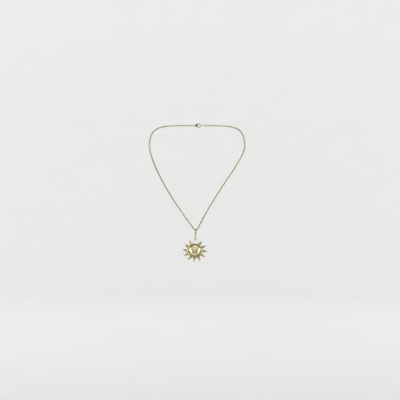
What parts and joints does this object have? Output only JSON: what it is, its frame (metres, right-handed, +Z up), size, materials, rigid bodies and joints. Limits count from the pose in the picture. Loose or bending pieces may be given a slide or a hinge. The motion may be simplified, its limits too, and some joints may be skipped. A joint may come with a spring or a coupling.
{
  "type": "pendant necklace",
  "caption": "Fine chain necklace fastened by a lobster clasp at the nape, with a sunburst face medallion hanging from a long bail at the front.",
  "frame": {"origin": "centre of the neck at the height of the shoulder crests, where the chain rests", "axes": "+Z up, -Y out from the chest towards the viewer, +X to the viewer's right"},
  "size_m": [0.1078, 0.1136, 0.154],
  "materials": {
    "chain_gold": "polished pale yellow gold wire with fine wear",
    "pendant_gold": "polished pale yellow gold casting, darker in its recesses",
    "medallion_gold": "bright polished pale yellow gold, darker in the relief",
    "clasp_gold": "polished pale yellow gold",
    "spring_steel": "bright spring steel"
  },
  "bodies": {
    "shoulders": {"left_shoulder_link": "chain_gold", "right_shoulder_link": "chain_gold"},
    "front_chain": {"front_left_short_links": "chain_gold", "front_left_long_links": "chain_gold", "front_right_short_links": "chain_gold", "front_right_long_links": "chain_gold", "apex_links": "chain_gold"},
    "back_chain": {"back_left_short_links": "chain_gold", "back_left_long_links": "chain_gold", "back_right_short_links": "chain_gold", "back_right_long_links": "chain_gold"},
    "bail": {"bail": "pendant_gold"},
    "jump_ring": {"pendant_jump_ring": "pendant_gold"},
    "pendant": {"sunburst_frame": "pendant_gold", "bezel_ring": "pendant_gold", "face_medallion": "medallion_gold"},
    "left_ring": {"left_end_ring": "clasp_gold"},
    "right_ring": {"right_end_ring": "clasp_gold"},
    "clasp": {"clasp_body": "clasp_gold", "clasp_pivot_pin": "spring_steel", "clasp_spring": "spring_steel"},
    "lever": {"clasp_lever": "clasp_gold"}
  },
  "joints": [
    {"name": "front_drape", "type": "hinge", "parent": "shoulders", "child": "front_chain", "pos_m": [0, -0.01113, -0.01725], "axis": [-1, 0, 0], "range_deg": [0, 65]},
    {"name": "back_lift", "type": "hinge", "parent": "shoulders", "child": "back_chain", "pos_m": [0, -0.00976, -0.01471], "axis": [1, 0, 0], "range_deg": [0, 40]},
    {"name": "bail_swing", "type": "hinge", "parent": "front_chain", "child": "bail", "pos_m": [-0.0012, -0.057, -0.1095], "axis": [-1, 0, 0], "range_deg": [0, 95]},
    {"name": "ring_swing", "type": "hinge", "parent": "bail", "child": "jump_ring", "pos_m": [-0.00155, -0.06054, -0.11661], "axis": [-0.999, 0.0194, 0.0391], "range_deg": [0, 18]},
    {"name": "pendant_swing", "type": "hinge", "parent": "jump_ring", "child": "pendant", "pos_m": [-0.00169, -0.06199, -0.11953], "axis": [-0.999, 0.0194, 0.0391], "range_deg": [0, 18]},
    {"name": "left_ring_spin", "type": "hinge", "parent": "back_chain", "child": "left_ring", "pos_m": [-0.00534, 0.037, 0.008], "axis": [0, 0, 1], "continuous": true},
    {"name": "right_ring_spin", "type": "hinge", "parent": "back_chain", "child": "right_ring", "pos_m": [0.00479, 0.037, 0.008], "axis": [0, 0, 1], "continuous": true},
    {"name": "clasp_roll", "type": "hinge", "parent": "back_chain", "child": "clasp", "pos_m": [-0.00356, 0.037, 0.008], "axis": [1, 0, 0], "range_deg": [-25, 25]},
    {"name": "lever_press", "type": "hinge", "parent": "clasp", "child": "lever", "pos_m": [-0.00111, 0.037, 0.0085], "axis": [0, 1, 0], "range_deg": [0, 12], "stiffness_Nm_per_rad": 0.002, "springref_deg": -17.19}
  ]
}
